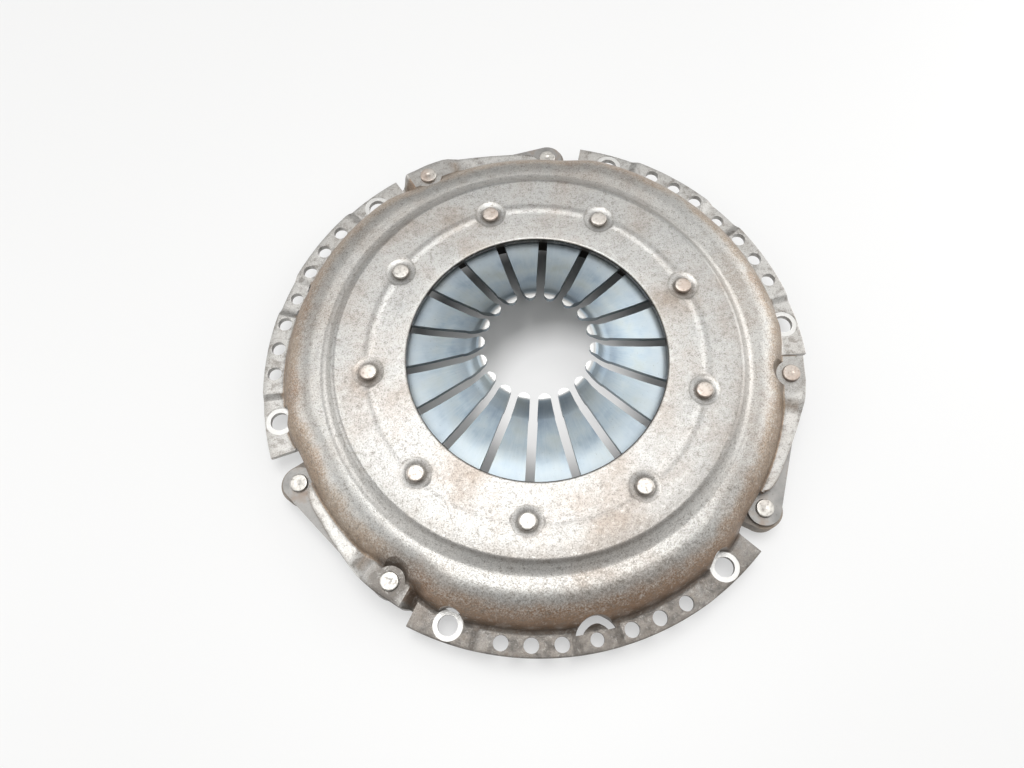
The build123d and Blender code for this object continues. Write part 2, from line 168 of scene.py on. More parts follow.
def spring_steel():
    """Oil-tempered spring steel: blue grey, satin, drawn lengthwise, polished at the tips."""
    material, tree, coords = new_material("tempered_spring_steel")
    x, y, z = add(tree, "SeparateXYZ", coords).node.outputs
    radius = add(tree, "VectorMath", add(tree, "CombineXYZ", x, y), operation="LENGTH")
    arc = add(tree, "Math", add(tree, "Math", y, x, operation="ARCTAN2"), DRAW_R, operation="MULTIPLY")
    along = add(tree, "CombineXYZ", arc, add(tree, "Math", radius, DRAW_STRETCH, operation="MULTIPLY"))
    streak = add(tree, "TexNoise", along, PER_M / 0.7, 3, 0.55)
    cloud = add(tree, "TexNoise", coords, PER_M / 13, 3, 0.55)
    spots = add(tree, "TexNoise", coords, PER_M / 1.1, 4, 0.7)
    colour = add(tree, "ValToRGB", cloud, stops=(
        (0.3, "#8595a2"), (0.44, "#9aa8b1"), (0.58, "#a4aeb1"), (0.68, "#a1a9a7"), (0.76, "#90a0ad")))
    for mask, tint in (
            (add(tree, "MapRange", streak, 0.4, 0.75, 0.0, 0.22), "#c2c9cd"),
            # painted light: the outer fingers are paler
            (add(tree, "MapRange", radius, FINGER_LIGHT_START_R, FINGER_LIGHT_END_R, 0.0, 0.45), "#c6d0d6"),
            (add(tree, "MapRange", spots, 0.64, 0.72, 0.0, 0.5), "#5f5a52"),
            # painted shade: the curl towards the tips is darker
            (add(tree, "MapRange", radius, CURL_SHADE_START_R, CURL_SHADE_END_R, 0.0, 0.4), "#57606a"),
            (add(tree, "MapRange", z, TIP_START_Z, TIP_Z), "#b4b4b2")):
        colour = add(tree, "Mix", mask, colour, tint, data_type="RGBA")
    finish_surface(tree, colour, 1.0, add(tree, "MapRange", streak, 0.3, 0.7, 0.34, 0.42), streak, 0.1, 0.15)
    return material


spring = smooth_copy("diaphragm_disc", "diaphragm_spring")
spring.data.materials.append(spring_steel())
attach(spring, "cover")
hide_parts("diaphragm_spring")
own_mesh(spring)

# Pivot rings.
# Two hoops of drawn steel wire, one above and one below the spring, with their ends butted.
# The shoulders of the fulcrum rivets hold them in place under the cover.


def drawn_wire():
    """Drawn steel wire: dark, oily and smooth."""
    material, tree, coords = new_material("drawn_steel_wire")
    film = add(tree, "TexNoise", coords, PER_M / 5, 3, 0.55)
    colour = add(tree, "ValToRGB", film, stops=((0.35, "#5c5955"), (0.7, "#8a8680")))
    finish_surface(tree, colour, 1.0, add(tree, "MapRange", film, 0.3, 0.7, 0.3, 0.45), film, 0.1, 0.1)
    return material


WIRE = drawn_wire()
for side in ("upper", "lower"):
    hoop = smooth_copy(f"{side}_wire_hoop", f"{side}_pivot_ring")
    hoop.data.materials.append(WIRE)
    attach(hoop, "cover")
    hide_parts(f"{side}_pivot_ring")

# Cover.
# Mild steel sheet, drawn in a press to a flat top, a step and a rounded skirt that is set back at the
# straps, then pierced and trimmed.  It bolts to the flywheel rim; use has stained the skirt brown.
SECTORS = (-90, 30, 150)                               # dowel holes; angles count from them, sizes are in mm
SHEET, TOP_Z, HOLE_R, MOUTH = 3.0, 26.0, 60.2, 1.2     # thickness, top, finger opening and its rounded mouth
TOP_EDGE, STEP_FOOT, SKIRT_FOOT = (94.4, 26.0), (98.7, 21.7), (121.3, 4.8)   # (radius, height), upper side
SHOULDER_R, SHOULDER_BEND = 118.3, 16.0                # where shoulder and skirt would meet, and their bend
OUTER_BENDS, INNER_BENDS = (3.4, 5.5, 2.2), (1.5, 8.5, 5.2)   # at top edge, step and skirt foot
SET_BACK, SET_BACK_FROM, SET_BACK_TO, SET_BACK_EASE = 3.4, -30.0, -89.0, 12.0   # of the skirt at a strap
RIM_R, PAD_LEVEL, STRIP_LEVEL, SHELF_LEVEL, LIP_LEVEL = 132.25, 3.0, 4.8, 12.5, 9.6
PAD_SLOPES, PAD_SLOPE = (3.2, 23.2), 1.9               # strips rise and fall here, over this angle
FLANGE_END, SHELF_RISE = -37.5, 2.3                    # the flange ends in a steep rise to the shelf
LIP_START, LIP_SLOPE = -49.0, 4.6                      # the shelf falls to the lip
UNDER_SHIFT = 0.45                                     # slopes of the lower side, so the sheet stays even
BEAD_R, BEAD_HALF, BEAD_RISE = 77.7, 3.0, 0.2          # faint pressed ring that carries the rivets
SHELF_RIM = ((-37.5, 125.6), (-38.2, 125.4), (-39.4, 127.0), (-42.2, 126.7), (-45.1, 126.9),
             (-49.7, 126.4), (-53.7, 125.3), (-58.2, 123.8), (-63.5, 122.6), (-68.4, 122.2),
             (-71.0, 121.4), (-72.0, 119.8), (-72.6, 117.6))   # (angle, radius) of shelf and lip
TRIM, TRIM_LEVEL, SECTOR_END = -72.7, 10.3, -82.48     # past the lip the skirt is trimmed above the lug
DOWEL_R, BOLT_R, BOLT_TURN, BALANCE_TURNS = 127, 125, 30, (7, 13, 19)
SHELF_RIVET, LUG_RIVET = (119.75, -44.05), (123.2, -74.8)     # (radius, angle)
FULCRUM_R, FULCRUM_FIRST, FULCRUM_STEP = 77.7, 15, 40
ROUND_HOLE = (-3, 9)                                   # lower and upper end of a plain drilled hole
DOWEL_HOLE, BALANCE_HOLE = 3.1, 3.4                    # radii
BOLT_CUT = ((4.5, -3), (4.5, 2.75), (6.7, 2.75), (6.7, 2.97), (7.2, 2.97), (7.2, 19.0))
SHELF_CUT = ((3.1, 5), (3.1, 12.51), (6.7, 12.51), (7.0, 12.9), (8.2, 15.5), (9.7, 18.2), (10.2, 19.5))
FULCRUM_CUT = ((2.7, 20), (2.7, 25.1), (4.1, 25.1), (4.5, 25.28), (5.2, 25.55), (6.0, 25.76),
               (6.8, 25.91), (7.5, 26.0), (8.2, 26.35), (8.3, 27))
ARCH_OUT, ARCH_IN = (9.6, 70), (6.4, 60)               # (radius, half angle) of the slot behind a dowel hole
ARCH_ENDS = (-2, 19.0)                                 # its lower and upper end
FLAT_INSIDE, FLAT_OUTSIDE = (66.0, 71.0), (83.0, 87.0) # stations on the flat top, on both sides of the bead
ROUND_ABOVE = 1.6                                      # the shoulder's round ends so far above the flange
LEAST_LEDGE = 2.0                                      # least width of the flange outside the skirt
# Where its finish changes: start and full strength of a mark, then where it fades again
FRONT_Y, NEAR_Y = (-60, -112), (-20, -90)              # the front, painted darker as shade, and the nearer half, where the top is painted darker
SKIRT_R, SKIRT_Z, FOOT_SHADE_Z = (124.5, 123), (2.5, 4.0, 19.0, 21.5), (2.5, 4.0, 6.5, 15.0)
LOW_Z, DIRT_Z, SIDE_LIGHT_Z = (8.5, 4.5), (12.5, 10.5), (13.5, 12.5)
TOP_R, TOP_EDGE_R, STEP_LIGHT_R = (96.5, 95.5), (86, 92.5, 95, 96.5), (94.5, 96.5, 98.5, 101)
SHOULDER_SHADE_R, RUBBED_R, RUBBED_Z = (98.5, 101, 109, 115), (97, 100), (15.0, 19.0, 22.0, 23.0)
SHEARED_R, SPOT_FACE_Z, POCKET_R = (60.9, 60.35), 2.75, (14, 21)
UNEVEN, POCKET_UNEVEN = 6, 12                          # how far borders wander
HALO_PER_M = 100                                       # the ramp round a rivet is 10 mm long


def eased(x):
    """Smooth rise from 0 to 1."""
    x = min(max(x, 0.0), 1.0)
    return x * x * (3 - 2 * x)


def level(angle, under):
    """Height of the flange's upper side at an angle, with the slopes shifted for the lower side."""
    shift = UNDER_SHIFT if under else 0.0
    if angle > FLANGE_END + 0.1:
        rise, fall = PAD_SLOPES
        up = eased((abs(angle) - rise - shift) / PAD_SLOPE) - eased((abs(angle) - fall + shift) / PAD_SLOPE)
        return PAD_LEVEL + (STRIP_LEVEL - PAD_LEVEL) * up
    up = eased((FLANGE_END - angle - 2 * shift) / SHELF_RISE)
    down = eased((LIP_START - angle + shift) / LIP_SLOPE)
    return PAD_LEVEL + (SHELF_LEVEL - PAD_LEVEL) * up - (SHELF_LEVEL - LIP_LEVEL) * down


def rim_radius(angle):
    """Outer edge of flange, shelf and lip."""
    if angle > FLANGE_END + 0.01:
        return RIM_R
    for (a, r), (b, q) in zip(SHELF_RIM, SHELF_RIM[1:]):
        if b <= angle <= a:
            return r + (q - r) * (a - angle) / (a - b)
    return SHELF_RIM[-1][1]


def rounded(points, radii, counts):
    """Line through the points with its corners rounded, each round in its own number of steps."""
    line = []
    for i, (radius, count) in enumerate(zip(radii, counts), 1):
        here, back, ahead = (Vector(points[k]) for k in (i, i - 1, i + 1))
        one, two = (back - here).normalized(), (ahead - here).normalized()
        half = one.angle(two) / 2
        reach = min(radius / math.tan(half), 0.8 * (back - here).length, 0.8 * (ahead - here).length)
        a, b = here + one * reach, here + two * reach
        centre = here + (one + two).normalized() * (reach / math.cos(half))
        for k in range(count + 1):
            arm = (a - centre).lerp(b - centre, k / count).normalized() * (a - centre).length
            line.append(centre + arm)
    return line


def section(angle, under):
    """Points of one cut through the sheet, from the mouth to the rim, along its upper or lower side."""
    foot, rim = level(angle, under), rim_radius(angle)
    turn = angle if angle < 20 else angle - 120
    setting = eased((SET_BACK_FROM - turn) / SET_BACK_EASE) * eased((turn - SET_BACK_TO) / SET_BACK_EASE)
    corner = SHOULDER_R - SET_BACK * setting
    lean = math.atan2(SKIRT_FOOT[0] - SHOULDER_R, STEP_FOOT[1] - SKIRT_FOOT[1])
    reach = SHOULDER_BEND * math.tan((math.pi / 2 - lean) / 2)
    centre = Vector((corner - reach, STEP_FOOT[1] - SHOULDER_BEND))
    stop = max(lean, math.asin(min((level(angle, False) + ROUND_ABOVE - centre.y) / SHOULDER_BEND, 1.0)))
    skirt = corner + (STEP_FOOT[1] - foot) * math.tan(lean)
    corners = [(HOLE_R + MOUTH, TOP_Z), TOP_EDGE, STEP_FOOT, (corner, STEP_FOOT[1]), (skirt, foot),
               (max(rim, skirt + LEAST_LEDGE), foot)]
    bead_line = [(BEAD_R + BEAD_HALF * k / 4, BEAD_RISE * math.cos(k * math.pi / 8) ** 2)
                 for k in range(-4, 5)]
    bend, bends = SHOULDER_BEND, OUTER_BENDS
    if under:
        steps = [(Vector(b) - Vector(a)).normalized() for a, b in zip(corners, corners[1:])]
        inward = [Vector((s.y, -s.x)) for s in steps]
        inward = [inward[0]] + inward + [inward[-1]]
        corners = [Vector(c) + (p + q) * SHEET / (1 + p.dot(q))
                   for c, p, q in zip(corners, inward, inward[1:])]
        bend, bends = SHOULDER_BEND - SHEET, INNER_BENDS
    flat_z, edge = corners[0][1], corners[-1][0]
    if under:
        mouth = [(HOLE_R, TOP_Z - 1.1), (HOLE_R, TOP_Z - 2.0), (HOLE_R, TOP_Z - SHEET),
                 (HOLE_R + MOUTH, TOP_Z - SHEET)]
        bead = [(r, TOP_Z - SHEET) for r, rise in bead_line]
        end = [(edge - 0.5, foot - SHEET), (edge, foot - SHEET + 0.3), (edge, foot - 1.2)]
    else:
        mouth = [(HOLE_R, TOP_Z - 1.0), (HOLE_R + 0.2, TOP_Z - 0.4), (HOLE_R + 0.6, TOP_Z - 0.1),
                 (HOLE_R + MOUTH, TOP_Z)]
        bead = [(r, TOP_Z + rise) for r, rise in bead_line]
        end = [(edge - 0.6, foot), (edge - 0.15, foot - 0.15), (edge, foot - 0.6)]
    flat = [(r, flat_z) for r in FLAT_INSIDE] + bead + [(r, flat_z) for r in FLAT_OUTSIDE]
    turns = [math.pi / 2 + (stop - math.pi / 2) * k / 12 for k in range(13)]
    arc = [centre + bend * Vector((math.cos(t), math.sin(t))) for t in turns]
    drop = arc[-1].y - corners[-1][1]
    joint = arc[-1] + Vector((drop * math.tan(stop), -drop))
    shoulder = rounded(corners[:4], bends[:2], (6, 7)) + arc
    hem = rounded([arc[-1], joint, corners[-1]], bends[2:], (6,))
    wall = [arc[-1].lerp(hem[0], k / 6) for k in range(1, 6)]
    ledge = [hem[-1].lerp(Vector(end[0]), k / 5) for k in range(1, 5)]
    return [Vector(p) for p in mouth + flat] + shoulder + wall + hem + ledge + [Vector(p) for p in end]


def cover_mesh():
    """The sheet as two grids, one for each side, joined along every edge."""
    marks = [-FLANGE_END - 1.25 * k for k in range(60)]
    marks += [way * a for way in (1, -1) for a in (3.2, 3.7, 4.15, 4.6, 5.1, 23.2, 23.7, 24.15, 24.6, 25.1)]
    marks += [36.9, 35.6, -35.6, -36.9, -37.46, -37.52]                             # flange ends
    marks += [-37.9, -38.3, -38.6, -38.9, -39.2, -39.5, -39.8, -40.4]               # rise to the shelf
    marks += [-41.5 - 1.25 * k for k in range(24)] + [-71.4, -71.8, -72.2, TRIM]    # shelf and lip
    marks += [-74, -75.5, -77, -78.5, -80, -81.2, -82.45]                           # above the lug
    marks = sorted({round(a, 2) for a in marks if a > SECTOR_END}, reverse=True)
    marks = [a for a, b in zip(marks, marks[1:] + [-999]) if a - b > 0.03]
    made = bmesh.new()
    sides = []
    for under in (False, True):
        columns = []
        for sector in SECTORS:
            for mark in marks:
                c, s = math.cos(math.radians(sector + mark)), math.sin(math.radians(sector + mark))
                columns.append([made.verts.new((p.x * c / PER_M, p.x * s / PER_M, p.y / PER_M))
                                for p in section(mark, under)])
        sides.append(columns)
    up, low = sides
    rows, per = len(up[0]), len(marks)
    last_kept = next(k for k, p in enumerate(section(TRIM, False)) if p.x > 100 and p.y < TRIM_LEVEL)
    order = [s * per + k for s in (0, 2, 1) for k in range(per)]
    for at, i in enumerate(order):
        j = order[(at + 1) % len(order)]
        stop = last_kept if marks[i % per] <= TRIM + 0.001 else rows - 1
        for k in range(stop):
            made.faces.new((up[j][k], up[j][k + 1], up[i][k + 1], up[i][k]))
            made.faces.new((low[i][k], low[i][k + 1], low[j][k + 1], low[j][k]))
    pair = {u: v for a, b in zip(up, low) for u, v in zip(a, b)}
    for edge in [e for e in made.edges if len(e.link_faces) == 1 and all(v in pair for v in e.verts)]:
        a, b = edge.verts
        made.faces.new((a, b, pair[b], pair[a]))
    bmesh.ops.delete(made, geom=[v for v in made.verts if not v.link_faces], context="VERTS")
    bmesh.ops.recalc_face_normals(made, faces=made.faces)
    return made


def turned(made, outline, x, y, steps=40):
    """Adds the solid that an outline of (radius, height) sweeps about an upright axis."""
    arms = [2 * math.pi * k / steps for k in range(steps)]
    rings = [[made.verts.new(((x + radius * math.cos(arm)) / PER_M, (y + radius * math.sin(arm)) / PER_M,
                              height / PER_M)) for arm in arms] for radius, height in outline]
    for a, b in zip(rings, rings[1:]):
        for k in range(steps):
            made.faces.new((a[k], a[(k + 1) % steps], b[(k + 1) % steps], b[k]))
    made.faces.new(rings[0][::-1])
    made.faces.new(rings[-1])


def polar(radius, angle):
    """Point in plan."""
    return radius * math.cos(math.radians(angle)), radius * math.sin(math.radians(angle))


def cover_cutters():
    """Everything that is drilled, pierced or spot faced out of the sheet."""
    made = bmesh.new()
    for sector in SECTORS:
        turned(made, [(DOWEL_HOLE, z) for z in ROUND_HOLE], *polar(DOWEL_R, sector))
        turned(made, SHELF_CUT, *polar(SHELF_RIVET[0], sector + SHELF_RIVET[1]))
        for way in (-1, 1):
            turned(made, BOLT_CUT, *polar(BOLT_R, sector + BOLT_TURN * way), 56)
            for spread in BALANCE_TURNS:
                turned(made, [(BALANCE_HOLE, z) for z in ROUND_HOLE], *polar(DOWEL_R, sector + spread * way))
        (out, wide), (near, narrow) = ARCH_OUT, ARCH_IN
        arch = [(out, a) for a in range(-wide, wide + 1, 5)]
        arch += [(near, a) for a in range(narrow, -narrow - 1, -5)]
        x, y = polar(DOWEL_R, sector)
        arms = [polar(r, sector + a) for r, a in arch]
        low, high = ([made.verts.new(((x - px) / PER_M, (y - py) / PER_M, z / PER_M)) for px, py in arms]
                     for z in ARCH_ENDS)
        for k in range(len(arms)):
            made.faces.new((low[k - 1], low[k], high[k], high[k - 1]))
        made.faces.new(low[::-1])
        made.faces.new(high)
    for k in range(9):
        turned(made, FULCRUM_CUT, *polar(FULCRUM_R, FULCRUM_FIRST + FULCRUM_STEP * k), 56)
    bmesh.ops.recalc_face_normals(made, faces=made.faces)
    return made


def pressed_steel():
    """Pressed mild steel: pale warm grey and pitted, with a brown film on the skirt, grime, rust, painted shade
    and painted light.
    """
    material, tree, coords = new_material("pressed_mild_steel")
    x, y, z = add(tree, "SeparateXYZ", coords).node.outputs
    radius = add(tree, "VectorMath", add(tree, "CombineXYZ", x, y), operation="LENGTH")
    angle = add(tree, "Math", y, x, operation="ARCTAN2")
    upward = add(tree, "SeparateXYZ", add(tree, "NewGeometry", give="Normal")).node.outputs["Z"]
    # Width in millimetres, detail and roughness of each; the finest are drawn coarse enough to show
    grain, scuff, fleck, pits, grime, smear, cloud, stain = (
        add(tree, "TexNoise", coords, PER_M / width, detail, rough) for width, detail, rough in (
            (0.6, 4, 0.65), (0.8, 4, 0.7), (1.1, 4, 0.7), (2.4, 5, 0.75),
            (4, 5, 0.7), (7, 5, 0.65), (11, 4, 0.6), (30, 5, 0.6)))
    height = add(tree, "Math", cloud, UNEVEN / PER_M, add(tree, "Math", z, -UNEVEN / 2 / PER_M),
                 operation="MULTIPLY_ADD")

    def times(first, *others):
        """Masks multiplied together."""
        for other in others:
            first = add(tree, "Math", first, other, operation="MULTIPLY")
        return first

    def band(place, start, full, *fade):
        """Rises to 1 between two places in millimetres and, if they are given, fades between two more."""
        rise = add(tree, "MapRange", place, start / PER_M, full / PER_M)
        if not fade:
            return rise
        drop = add(tree, "MapRange", place, *[end / PER_M for end in fade])
        return add(tree, "Math", rise, drop, operation="SUBTRACT")

    def from_nearest(circle, first, step):
        """Distance in plan to the nearest of the points that stand on a circle, step degrees apart."""
        ahead = add(tree, "Math", angle, math.radians(360 - first + step / 2))
        turn = add(tree, "Math", add(tree, "Math", ahead, math.radians(step), operation="MODULO"),
                   math.radians(-step / 2))
        out = times(radius, add(tree, "Math", turn, operation="COSINE"))
        across = times(radius, add(tree, "Math", turn, operation="SINE"))
        gap = add(tree, "CombineXYZ", add(tree, "Math", out, -circle / PER_M), across)
        return add(tree, "VectorMath", gap, operation="LENGTH")

    # Where marks lie: the front (painted darker, as shade), the steep skirt, its foot, the low flange and the
    # edge of the top
    front, near = band(y, *FRONT_Y), band(y, *NEAR_Y)
    skirt = times(band(radius, *SKIRT_R), add(tree, "MapRange", upward, 0.985, 0.9))
    steep = times(band(height, *SKIRT_Z), skirt)
    # painted shade: the skirt darkens towards its foot, most at the front
    foot = times(band(height, *FOOT_SHADE_Z), skirt, add(tree, "MapRange", front, 0, 1, 0.2, 0.7))
    # grime on the low flange, and painted shade where it grows heavier towards the front
    low = times(band(height, *LOW_Z), add(tree, "MapRange", front, 0, 1, 0.05, 0.9))
    # painted light: flange, pads and lips are paler away from the front
    side_light = times(add(tree, "MapRange", front, 0, 1, 1.0, 0.0), band(z, *SIDE_LIGHT_Z),
                  add(tree, "MapRange", steep, 0, 1, 0.55, 0.0))
    # painted shade: the nearer half of the top is darker, most towards its outer edge
    near_top_shade = times(near, add(tree, "MapRange", band(radius, *TOP_EDGE_R), 0, 1, 0.22, 0.67), band(radius, *TOP_R))

    # What the marks are: dirt, rust, rubbed flecks, painted shade round rivets, in strap pockets and on the
    # front shoulder, painted light on the step
    dirt = times(band(height, *DIRT_Z), add(tree, "MapRange", grime, 0.5, 0.62, 0.0, 0.55))
    around = from_nearest(FULCRUM_R, FULCRUM_FIRST, FULCRUM_STEP)
    # painted shade: a dark ring at each fulcrum rivet's head and a dark line at its dimple's rim
    rivet_shade = add(tree, "ValToRGB", times(around, HALO_PER_M), stops=(
        (0.38, 0.8), (0.45, 0.3), (0.58, 0.0), (0.66, 0.08), (0.71, 0.4), (0.77, 0.1), (1.0, 0.0)))
    # painted shade in the strap pockets round the shelf rivets, strongest on the nearer half
    around = from_nearest(SHELF_RIVET[0], SECTORS[1] + SHELF_RIVET[1], 120)
    uneven = add(tree, "Math", cloud, POCKET_UNEVEN / PER_M, around, operation="MULTIPLY_ADD")
    pocket_shade = times(add(tree, "MapRange", band(uneven, *POCKET_R), 0, 1, 0.95, 0.0),
                   add(tree, "MapRange", near, 0, 1, 0.3, 1.0))
    rusty = add(tree, "Math", steep, 0.85, add(tree, "MapRange", stain, 0.52, 0.7, 0.0, 0.25),
                operation="MULTIPLY_ADD")
    rust = times(add(tree, "MapRange", fleck, 0.38, 0.7, 0.0, 0.75), rusty)
    worn = times(add(tree, "MapRange", scuff, 0.42, 0.68, 0.0, 0.6), band(height, *RUBBED_Z),
                 band(radius, *RUBBED_R))
    # painted shade over the front of the shoulder, broken by flecks
    film = times(band(radius, *SHOULDER_SHADE_R), front, add(tree, "MapRange", fleck, 0.38, 0.56, 0.7, 0.0))
    # painted light on the step between top and shoulder, broken by flecks
    step = times(band(radius, *STEP_LIGHT_R), add(tree, "MapRange", fleck, 0.35, 0.65, 0.25, 0.8))
    faced = times(add(tree, "Math", z, SPOT_FACE_Z / PER_M, 0.00008, operation="COMPARE"),
                  add(tree, "Math", upward, 0.9, operation="GREATER_THAN"))

    brown = add(tree, "ValToRGB", stain, stops=((0.3, "#aea294"), (0.5, "#a3907c"), (0.7, "#8f745e")))
    # the skirt's front is darker brown: partly its brown film, partly painted shade
    brown = add(tree, "Mix", times(front, 0.85), brown, "#74573d", data_type="RGBA")
    grime_and_shade = add(tree, "ValToRGB", grime, stops=(
        (0.36, "#484440"), (0.48, "#645f5a"), (0.6, "#827c76"), (0.7, "#64584e")))
    colour = add(tree, "ValToRGB", stain, stops=(
        (0.3, "#a3a3a1"), (0.46, "#aaa9a6"), (0.57, "#a6a29d"), (0.7, "#968d84")))
    for mask, tint in (
            (steep, brown), (foot, "#4a392b"), (side_light, "#c6c4c0"), (low, grime_and_shade), (dirt, "#6c665f"),
            (near_top_shade, "#7d7974"), (rivet_shade, "#5b554e"), (pocket_shade, "#55514d"),
            (add(tree, "MapRange", smear, 0.5, 0.75, 0.0, 0.4), "#827c75"),
            (rust, "#58432f"), (worn, "#cbc8c2"), (film, "#6a645d"), (step, "#cecbc6"),
            (band(radius, *SHEARED_R), "#2b2825"),                  # sheared edge of the finger opening: dark grime and a painted shadow of the gap below
            (add(tree, "MapRange", grain, 0.3, 0.5, 0.55, 0.0), "#5c5751"),
            (add(tree, "MapRange", pits, 0.34, 0.47, 0.5, 0.0), "#6a645c"),
            (add(tree, "MapRange", pits, 0.55, 0.7, 0.0, 0.35), "#c9c7c2"),
            (faced, "#c8c7c4")):
        colour = add(tree, "Mix", mask, colour, tint, data_type="RGBA")
    filmed = times(steep, add(tree, "MapRange", front, 0, 1, 0.42, 0.77))
    metal = add(tree, "Math", add(tree, "Math", rust, filmed, operation="MAXIMUM"), -0.75, 0.92,
                operation="MULTIPLY_ADD")
    rough = add(tree, "Math", low, 0.08, add(tree, "MapRange", grain, 0.3, 0.7, 0.46, 0.3),
                operation="MULTIPLY_ADD")
    finish_surface(tree, colour, metal, rough, grain, 0.3, 0.2)
    return material


cutters = shaded("cover_cutters", cover_cutters())
blank = shaded("cover_blank", cover_mesh())
cut = blank.modifiers.new("pierced", "BOOLEAN")
cut.object = cutters
cut.solver = "EXACT"
blank.modifiers.move(1, 0)              # pierced before its normals are evened out
pierced = bmesh.new()
pierced.from_mesh(bpy.data.meshes.new_from_object(blank.evaluated_get(bpy.context.evaluated_depsgraph_get())))
for helper in (cutters, blank):
    bpy.data.objects.remove(helper)
bmesh.ops.remove_doubles(pierced, verts=pierced.verts, dist=1e-6)
cover = shaded("pressed_cover", pierced, 30)
cover.data.materials.append(pressed_steel())
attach(cover, "cover")
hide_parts("cover")

# Rivets.
# Cold-formed steel rivets: shouldered ones for the spring, short ones at both ends of the straps.
# Their heads were closed in a press and stayed bright.
FULCRUM_OUTLINE = ((0.4, 7.6), (5.0, 7.6), (6.0, 8.0), (6.4, 8.8), (6.4, 10.2), (3.0, 10.2), (3.0, 22.9),
                   (2.65, 23.0), (2.65, 25.12), (3.75, 25.12), (3.78, 26.1), (3.68, 26.5), (3.4, 26.72),
                   (3.0, 26.8), (1.6, 26.8), (0.4, 26.78))
STRAP_FOOT = ((0.4, 0.0), (3.8, 0.0), (4.5, 0.3), (4.8, 1.0), (4.8, 2.0), (3.0, 2.0))   # from its lower end
STRAP_HEAD = ((3.05, 0.0), (4.2, 0.02), (4.2, 1.1), (4.1, 1.5), (3.8, 1.74), (3.4, 1.8), (1.4, 1.78),
              (0.9, 1.6), (0.3, 1.55))                 # from the face that it clamps
SHELF_RIVET_Z, LUG_RIVET_Z = (5.1, 12.5), (-8.7, 3.7)  # lower end and clamped face


def rivet_steel():
    """Cold-formed rivet steel: bright, with the faint marks of the closing tool."""
    material, tree, coords = new_material("cold_formed_rivet_steel")
    mark = add(tree, "TexNoise", coords, PER_M / 1.4, 4, 0.55)
    film = add(tree, "TexNoise", coords, PER_M / 45, 2, 0.55)
    bright = add(tree, "ValToRGB", mark, stops=((0.32, "#8f8b86"), (0.48, "#b8b5af"), (0.8, "#c2bfba")))
    stained = add(tree, "MapRange", film, 0.5, 0.65, 0.0, 0.5)
    finish_surface(tree, add(tree, "Mix", stained, bright, "#a48b7a", data_type="RGBA"), 1.0,
                   add(tree, "MapRange", mark, 0.3, 0.7, 0.45, 0.34), mark, 0.3, 0.2)
    return material


def rivet_tree(name):
    """Geometry nodes: one rivet set on every point, each turned its own way."""
    tree = bpy.data.node_groups.new(name, "GeometryNodeTree")
    for label, way, kind in (("Points", "INPUT", "Geometry"), ("Rivet", "INPUT", "Object"),
                             ("Steel", "INPUT", "Material"), ("Rivets", "OUTPUT", "Geometry")):
        tree.interface.new_socket(label, in_out=way, socket_type=f"NodeSocket{kind}")
    given = add(tree, "NodeGroupInput").node.outputs
    turn = add(tree, "FunctionNodeRandomValue", (0, 0, 0), (0, 0, 2 * math.pi), named={"Seed": 4},
               data_type="FLOAT_VECTOR")
    shape = add(tree, "GeometryNodeObjectInfo", given["Rivet"], give="Geometry", transform_space="ORIGINAL")
    spread = add(tree, "GeometryNodeInstanceOnPoints", named={
        "Points": given["Points"], "Instance": shape, "Rotation": turn})
    real = add(tree, "GeometryNodeRealizeInstances", spread)
    steel = add(tree, "GeometryNodeSetMaterial", named={"Geometry": real, "Material": given["Steel"]})
    add(tree, "NodeGroupOutput", named={"Rivets": steel})
    return tree


def rivet_group(name, outline, places, steel):
    """Turned rivets at the given places in plan, as one plain mesh; the outline is in millimetres."""
    made = bmesh.new()
    turned(made, outline, 0, 0, 36)
    bmesh.ops.recalc_face_normals(made, faces=made.faces)
    rivet = shaded(f"{name}_shape", made)
    points = bpy.data.meshes.new(f"{name}_points")
    points.from_pydata([(x / PER_M, y / PER_M, 0) for x, y in places], [], [])
    holder = bpy.data.objects.new(f"{name}_points", points)
    bpy.context.scene.collection.objects.link(holder)
    spread = holder.modifiers.new("rivets", "NODES")
    spread.node_group = rivet_tree(f"{name}_tree")
    for item in spread.node_group.interface.items_tree:
        if item.in_out == "INPUT" and item.name in ("Rivet", "Steel"):
            spread[item.identifier] = rivet if item.name == "Rivet" else steel
    bpy.context.view_layer.update()
    mesh = bpy.data.meshes.new_from_object(holder.evaluated_get(bpy.context.evaluated_depsgraph_get()))
    for helper in (rivet, holder):
        bpy.data.objects.remove(helper)
    group = bpy.data.objects.new(name, mesh)
    bpy.context.scene.collection.objects.link(group)
    return group


def strap_rivet(foot_z, face_z):
    """Outline of a short rivet between its lower end and the face under its head."""
    return [(r, foot_z + h) for r, h in STRAP_FOOT] + [(r, face_z + h) for r, h in STRAP_HEAD]


RIVET_STEEL = rivet_steel()
for name, body, nodes, outline, places in (
        ("fulcrum_rivets", "cover", "fulcrum_rivet_", FULCRUM_OUTLINE,
         [polar(FULCRUM_R, FULCRUM_FIRST + FULCRUM_STEP * k) for k in range(9)]),
        ("strap_shelf_rivets", "cover", "strap_cover_rivet_", strap_rivet(*SHELF_RIVET_Z),
         [polar(SHELF_RIVET[0], sector + SHELF_RIVET[1]) for sector in SECTORS]),
        ("strap_lug_rivets", "pressure_plate", "strap_lug_rivet_", strap_rivet(*LUG_RIVET_Z),
         [polar(LUG_RIVET[0], sector + LUG_RIVET[1]) for sector in SECTORS])):
    group = rivet_group(name, outline, places, RIVET_STEEL)
    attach(group, body)
    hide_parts(*[f"{nodes}{k + 1}" for k in range(len(places))])


